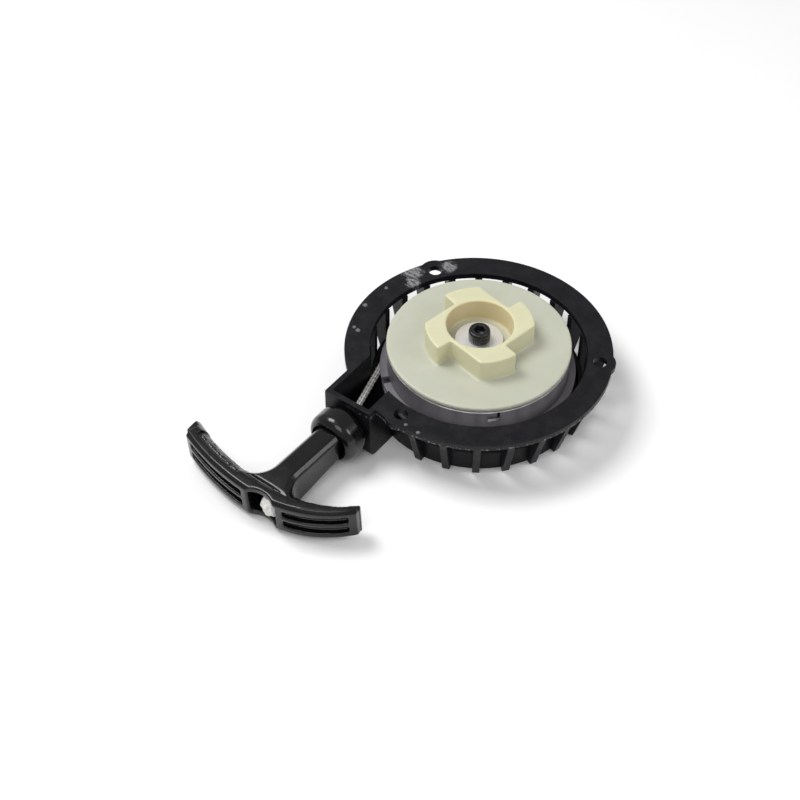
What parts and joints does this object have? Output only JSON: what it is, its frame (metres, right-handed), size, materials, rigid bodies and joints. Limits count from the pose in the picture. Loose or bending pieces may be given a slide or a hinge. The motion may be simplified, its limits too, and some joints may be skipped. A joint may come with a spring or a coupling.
{
  "type": "recoil starter",
  "caption": "Recoil starter with a round vented bolt-on cover, side rope box, T-shaped pull handle, sprung rope reel and a white four-dog drive plate.",
  "frame": {"origin": "centre of the mounting flange's face, in the plane that meets the engine", "axes": "+Z points out of the flange face towards the engine, along the reel's axis; -Y is the way the rope leaves the box"},
  "size_m": [0.1196, 0.1585, 0.0364],
  "materials": {
    "cast_black": "satin black paint over die-cast aluminium, scuffed",
    "guide_black": "satin moulded plastic",
    "nylon_washer": "natural nylon",
    "spring_steel": "blued strip steel",
    "bright_zinc": "bright zinc plate",
    "black_oxide": "black oxide",
    "grey_plastic": "filled grey nylon, matte",
    "natural_nylon": "natural nylon, slightly translucent",
    "rope_white": "braided polyester with dark flecks",
    "handle_black": "satin to gloss moulded plastic, textured grip"
  },
  "bodies": {
    "housing_body": {"mounting_flange": "cast_black", "cooling_vanes": "cast_black", "cover": "cast_black", "rope_box": "cast_black", "rope_guide": "guide_black", "thrust_washer": "nylon_washer", "recoil_spring": "spring_steel", "retaining_washer": "bright_zinc", "centre_screw": "black_oxide"},
    "reel_body": {"pulley": "grey_plastic", "pulley_knot": "rope_white", "rope_winding": "rope_white", "assist_spring": "spring_steel", "assist_spring_cover": "bright_zinc"},
    "claw_body": {"claw_plate": "natural_nylon"},
    "handle_body": {"handle": "handle_black", "handle_knot": "rope_white", "rope_run": "rope_white"}
  },
  "joints": [
    {"name": "handle_pull", "type": "slide", "parent": "housing_body", "child": "handle_body", "axis": [0, -1, 0], "range_m": [0, 0.65], "stiffness_N_per_m": 12, "springref_m": -0.5, "deforming": ["rope_run"]},
    {"name": "reel_spin", "type": "hinge", "parent": "housing_body", "child": "reel_body", "pos_m": [0, 0, 0], "axis": [0, 0, 1], "range_deg": [0, 1200], "deforming": ["recoil_spring"]},
    {"name": "claw_windup", "type": "hinge", "parent": "reel_body", "child": "claw_body", "pos_m": [0, 0, 0], "axis": [0, 0, 1], "range_deg": [-270, 0], "stiffness_Nm_per_rad": 0.05, "deforming": ["assist_spring"]}
  ],
  "couplings": [
    {"joint": "reel_spin", "follows": "handle_pull", "rad_per_m": 32.05}
  ]
}
